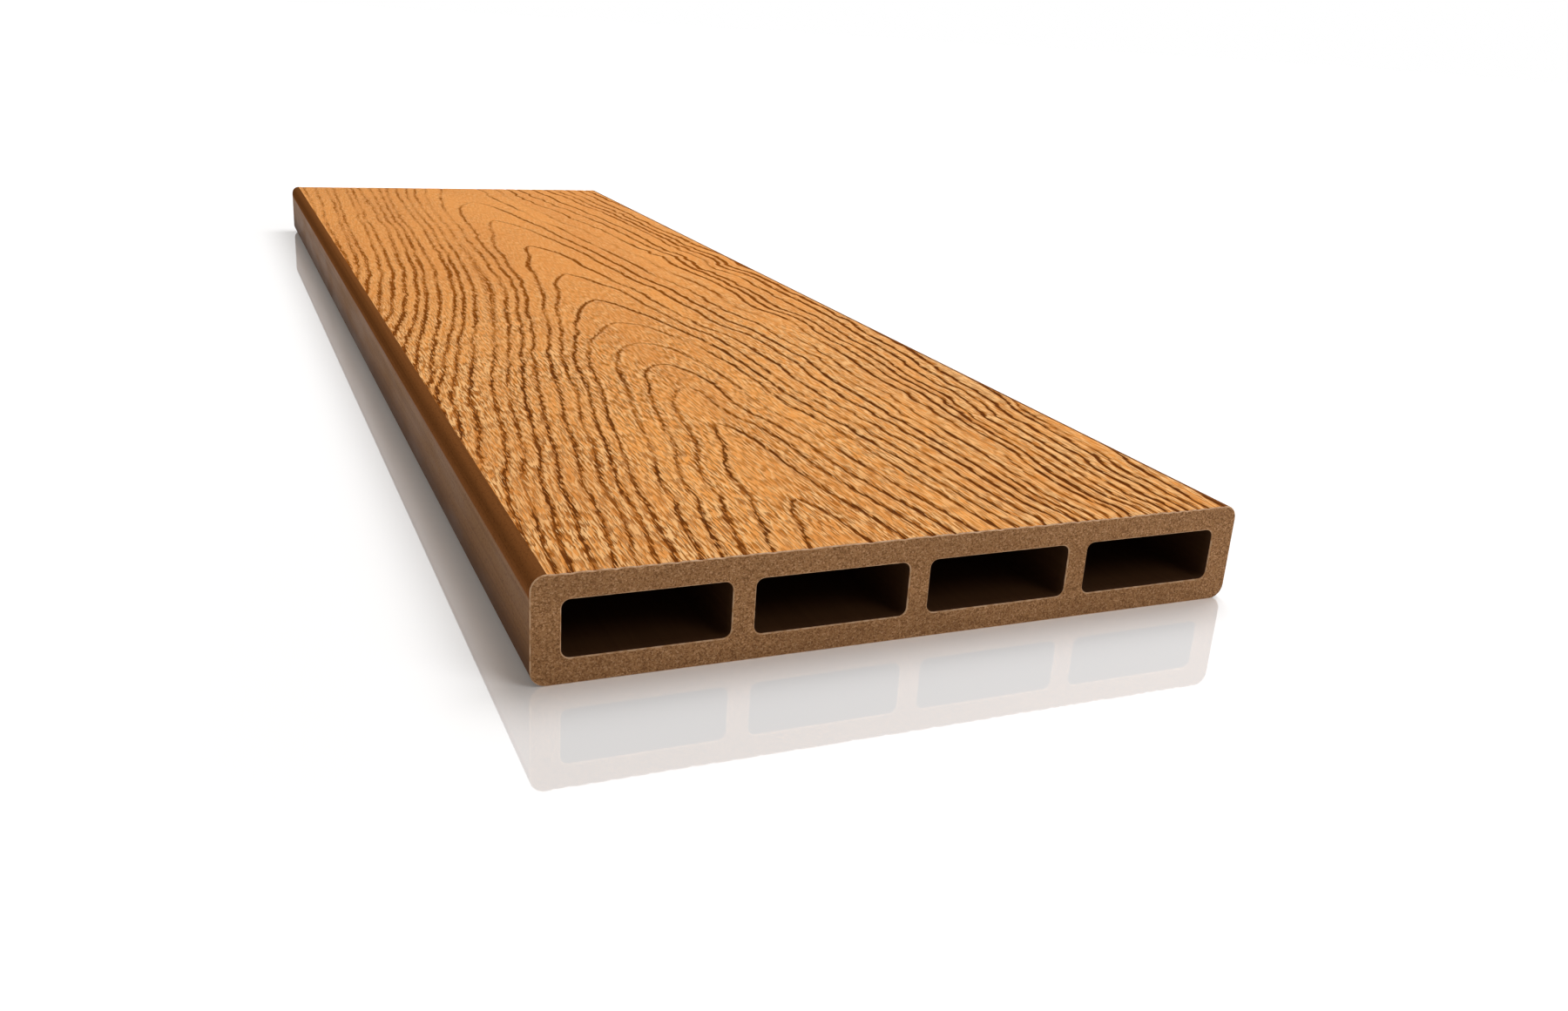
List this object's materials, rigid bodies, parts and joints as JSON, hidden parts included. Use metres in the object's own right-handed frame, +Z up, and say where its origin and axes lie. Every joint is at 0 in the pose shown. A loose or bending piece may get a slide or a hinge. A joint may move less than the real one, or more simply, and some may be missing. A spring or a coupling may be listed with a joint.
{
  "type": "composite fence board",
  "caption": "Hollow extruded wood-plastic fence board with rounded long edges, open lengthwise cells and a wood-grain embossed face.",
  "frame": {"origin": "middle of the underside, where the board rests on the floor", "axes": "+Y along the board's length, +X across its width, +Z up through its thickness to the embossed face"},
  "size_m": [0.15, 0.49, 0.021],
  "materials": {
    "composite": "wood-plastic composite, brushed and embossed above, smooth on the edges, sawn at the ends"
  },
  "bodies": {
    "root": {"fence_board": "composite"}
  },
  "joints": []
}
